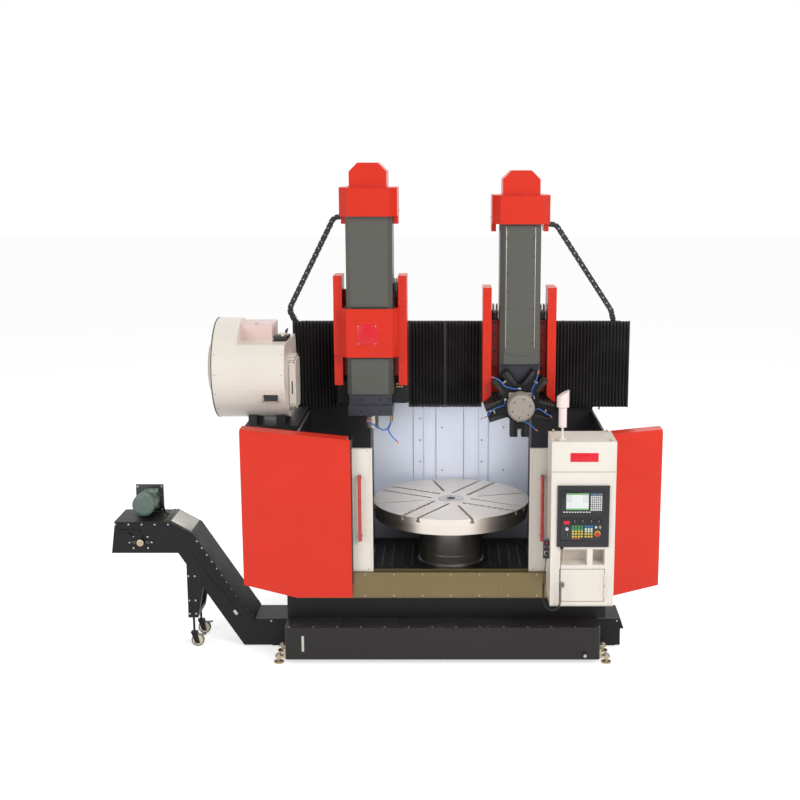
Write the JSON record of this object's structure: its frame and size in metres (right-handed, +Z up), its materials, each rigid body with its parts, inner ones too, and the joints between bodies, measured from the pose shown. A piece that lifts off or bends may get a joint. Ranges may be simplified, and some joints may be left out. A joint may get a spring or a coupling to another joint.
{
  "type": "gantry machining center",
  "caption": "Gantry machining center with a round slotted rotary table under a crossbeam that carries a spindle ram and a turret ram, with guards, tool magazine and chip conveyor.",
  "frame": {"origin": "on the floor, straight under the middle of the rotary table", "axes": "+Z up, +X to the right of the operator at the front, +Y to the back"},
  "size_m": [4.64, 2.4656, 4.139],
  "materials": {
    "beige_paint": "semi-gloss",
    "bellows": "coated cloth",
    "black_plastic": "moulded",
    "black_rubber": "matt",
    "black_sheet": "satin black",
    "casting": "painted casting",
    "chain_plastic": "moulded",
    "console_grey": "textured",
    "cream_paint": "semi-gloss",
    "dark_paint": "semi-gloss",
    "grey_paint": "semi-gloss",
    "ground_steel": "ground",
    "handle_red": "gloss",
    "hose_blue": "moulded",
    "lamp_plastic": "translucent",
    "motor_green": "semi-gloss",
    "motor_grey": "cast",
    "pale_guard": "semi-gloss",
    "red_paint": "gloss",
    "slate_paint": "semi-gloss",
    "stainless": "brushed",
    "table_steel": "ground and lapped",
    "window_glass": "clear",
    "zinc": "zinc plated"
  },
  "bodies": {
    "frame": {"back_guard": "pale_guard", "bed": "casting", "bellows_left_inner": "bellows", "bellows_left_outer": "bellows", "bellows_right_inner": "bellows", "bellows_right_outer": "bellows", "cabinet": "cream_paint", "chip_pan": "black_sheet", "console": "console_grey", "conveyor_leg": "black_sheet", "conveyor_lift": "black_sheet", "conveyor_motor": "motor_green", "conveyor_trough": "black_sheet", "coolant_tank": "dark_paint", "crossbeam": "casting", "left_chain": "chain_plastic", "left_column": "casting", "left_guard": "black_sheet", "left_wing": "red_paint", "levelling_feet": "zinc", "magazine_arm_cover": "cream_paint", "magazine_cap": "beige_paint", "magazine_drum": "cream_paint", "magazine_shelf": "dark_paint", "pedestal": "ground_steel", "pendant": "black_plastic", "pendant_cord": "black_rubber", "right_chain": "chain_plastic", "right_column": "casting", "right_guard": "black_sheet", "right_wing": "red_paint", "signal_lamp": "lamp_plastic", "sill": "stainless"},
    "table": {"table": "table_steel"},
    "left_saddle": {"left_saddle": "red_paint", "left_clamp": "red_paint", "left_slide": "casting"},
    "left_ram": {"left_ram": "grey_paint", "left_ram_cover": "red_paint", "spindle_head": "slate_paint", "spindle_hoses": "hose_blue"},
    "spindle": {"spindle_nose": "ground_steel"},
    "right_saddle": {"right_saddle": "red_paint", "right_slide": "casting"},
    "right_ram": {"right_ram": "grey_paint", "right_ram_cover": "red_paint", "turret_base": "slate_paint", "turret_motor": "motor_grey"},
    "turret": {"turret_disc": "black_sheet", "turret_hoses": "hose_blue"},
    "left_door": {"left_door": "cream_paint", "left_window": "window_glass", "left_handle": "handle_red"},
    "right_door": {"right_door": "cream_paint", "right_window": "window_glass", "right_handle": "handle_red"},
    "cabinet_door": {"cabinet_door": "cream_paint"}
  },
  "joints": [
    {"name": "table_spin", "type": "hinge", "parent": "frame", "child": "table", "pos_m": [0, 0, 1.165], "axis": [0, 0, 1], "continuous": true},
    {"name": "left_saddle_x", "type": "slide", "parent": "frame", "child": "left_saddle", "axis": [1, 0, 0], "range_m": [-0.3, 0.28], "deforming": ["bellows_left_outer", "bellows_left_inner"]},
    {"name": "left_ram_z", "type": "slide", "parent": "left_saddle", "child": "left_ram", "axis": [0, 0, 1], "range_m": [-0.4, 0.08], "deforming": ["left_chain"]},
    {"name": "spindle_spin", "type": "hinge", "parent": "left_ram", "child": "spindle", "pos_m": [-0.705, 0.01, 1.847], "axis": [0, 0, 1], "continuous": true},
    {"name": "right_saddle_x", "type": "slide", "parent": "frame", "child": "right_saddle", "axis": [1, 0, 0], "range_m": [-0.25, 0.45], "deforming": ["bellows_right_inner", "bellows_right_outer"]},
    {"name": "right_ram_z", "type": "slide", "parent": "right_saddle", "child": "right_ram", "axis": [0, 0, 1], "range_m": [-0.4, 0.08], "deforming": ["right_chain"]},
    {"name": "turret_index", "type": "hinge", "parent": "right_ram", "child": "turret", "pos_m": [0.598, -0.112, 2.084], "axis": [0, -1, 0], "continuous": true},
    {"name": "left_door_slide", "type": "slide", "parent": "frame", "child": "left_door", "axis": [1, 0, 0], "range_m": [0, 0.643]},
    {"name": "right_door_slide", "type": "slide", "parent": "frame", "child": "right_door", "axis": [-1, 0, 0], "range_m": [0, 0.643]},
    {"name": "cabinet_door_swing", "type": "hinge", "parent": "frame", "child": "cabinet_door", "pos_m": [1.2295, -1.3593, 0.815], "axis": [0, 0, 1], "range_deg": [0, 105]}
  ]
}
